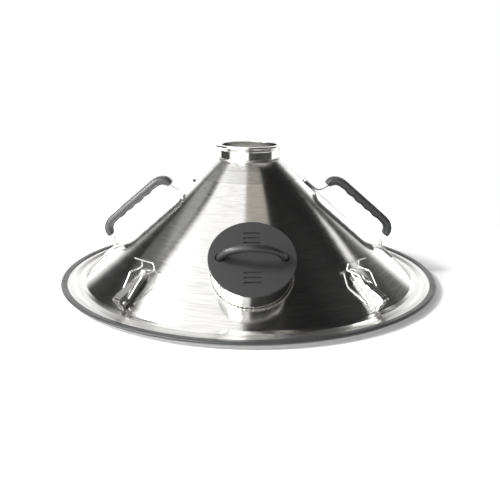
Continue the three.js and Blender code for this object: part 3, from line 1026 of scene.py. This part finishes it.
def build_lights():
    """Soft cards overhead and behind that shine in the steel, with a key light and a front sheen."""
    add_ceiling_card("softbox", -0.785, -0.62, (1.43, 1.9), 1.25)
    add_ceiling_card("back_panel", -0.5, 0.87, (0.6, 1.05), 1.4)
    add_ceiling_card("warm_strip", 0.14, 0.05, (0.42, 0.9), 0.5, (1, 0.93, 0.84))
    add_ceiling_card("near_glow", -1.2, 1.0, (0.45, 1.0), 0.4)
    add_ceiling_card("far_glow", -1.75, 0.95, (0.65, 1.0), 0.13)
    add_card("back_bar", (1.79, 1.05, 1.39), (0, 0, 0), (0.54, 0.2), 1.4)
    add_card("key", (-1.78, -0.475, 1.54), (0, 0, 0.1), (0.6, 0.6), 65)
    sheen = add_card("front_sheen", (-1.1, -1.55, 0.7), (0, 0, 0.12), (1.0, 1.1), 13)
    sheen.visible_diffuse = False


def colour_ramp(nodes, factor, stops):
    """Grey levels at the given places between 0 and 1, blended in a straight line."""
    node = nodes.add("ValToRGB", {"Fac": factor})
    elements = node.color_ramp.elements
    while len(elements) < len(stops):
        elements.new(0.5)
    for element, (at, level) in zip(elements, stops):
        element.position = at
        element.color = (level, level, level, 1)
    return node.outputs["Color"]


def horizon_ring(nodes, turn, stops):
    """Grey levels round the horizon, at azimuths in degrees."""
    return colour_ramp(nodes, turn, [(0.5 + at / 360, level) for at, level in stops])


def reflected_level(nodes):
    """How bright the studio is in each direction, as the steel sees it."""
    direction = nodes.add("TexCoord").outputs["Generated"]
    parts = nodes.add("SeparateXYZ", {0: direction}).outputs
    inputs = {0: nodes.turn_about_z(parts), 1: 0.5 / math.pi, 2: 0.5}
    turn = nodes.add("Math", inputs, operation="MULTIPLY_ADD").outputs[0]
    below = [(-180, 1), (-160, 1), (-150, 0.04), (-88, 0.04), (-80, 1), (-6, 1), (-2, 0.06)]
    below += [(30, 0.03), (95, 0.05), (105, 1), (158, 1), (166, 0.2), (180, 0.2)]
    above = [(-180, 1), (-147, 1), (-140, 0.02), (-120, 0.02), (-112, 0.6), (-80, 1), (-6, 1), (-2, 0.02)]
    above += [(86, 0.02), (92, 0.6), (106, 0.6), (114, 0.05), (138, 0.1), (143, 1), (180, 1)]
    under = colour_ramp(nodes, parts["Z"], [(0, 1), (0.001, 0)])
    rise = [(0, 0), (0.001, 1), (0.36, 1), (0.44, 0.3), (0.6, 0.04), (1, 0)]
    over = colour_ramp(nodes, parts["Z"], rise)
    level = nodes.math("MULTIPLY", horizon_ring(nodes, turn, below), under)
    level = nodes.math("ADD", level, nodes.math("MULTIPLY", horizon_ring(nodes, turn, above), over))
    return nodes.math("ADD", level, 0.012)


def build_world():
    """White to the camera. In reflections, a horizon with white and dark stretches under a dark ceiling."""
    world = bpy.data.worlds.new("studio")
    bpy.context.scene.world = world
    world.use_nodes = True
    nodes = Nodes(world.node_tree)
    reflected = nodes.tree.nodes["Background"]
    nodes.set(reflected, "Color", reflected_level(nodes))
    nodes.set(reflected, "Strength", 1.5)
    plain = nodes.add("Background", {"Color": (1, 1, 1, 1)})
    seen = nodes.add("LightPath").outputs["Is Camera Ray"]
    mix = nodes.add("MixShader", {"Fac": seen, 1: reflected.outputs[0], 2: plain.outputs[0]})
    nodes.set(nodes.tree.nodes["World Output"], "Surface", mix.outputs[0])


def build_camera():
    """The camera stands in front, a little above the neck, and looks slightly down."""
    pitch, yaw, roll = 0.2716, 0.0021, 0.0067
    orbit = math.radians(-1.2)
    stand = (0, -1.0973, 0.3525)
    forward = Vector((math.sin(yaw) * math.cos(pitch), math.cos(yaw) * math.cos(pitch), -math.sin(pitch)))
    right = Vector((math.cos(yaw), -math.sin(yaw), 0))
    up = right.cross(forward)
    side = right * math.cos(roll) + up * math.sin(roll)
    top = up * math.cos(roll) - right * math.sin(roll)
    basis = Matrix((side, top, -forward)).transposed().to_4x4()
    lens = bpy.data.cameras.new("camera")
    lens.lens = 44.42
    lens.sensor_width = 36
    camera = bpy.data.objects.new("camera", lens)
    bpy.context.scene.collection.objects.link(camera)
    camera.matrix_world = Matrix.Rotation(orbit, 4, "Z") @ Matrix.Translation(stand) @ basis
    bpy.context.scene.camera = camera


# ---- the scene ----
build_cone()
build_locating_ring()
build_gasket()
build_neck()
build_neck_weld()
build_port_tube()
build_port_weld()
build_plug()
build_pull()
for side, azimuth in (("left", -math.pi / 2), ("right", math.pi / 2)):
    handle_frame = slope_frame(azimuth, HANDLE_R)
    build_strap(side, handle_frame)
    build_grip(side, handle_frame)
for place, outer in (("front_left", -1), ("front_right", 1), ("back_right", -1), ("back_left", 1)):
    build_latch(place, outer)

build_floor()
build_lights()
build_world()
build_camera()
bpy.context.scene.view_settings.view_transform = "Standard"
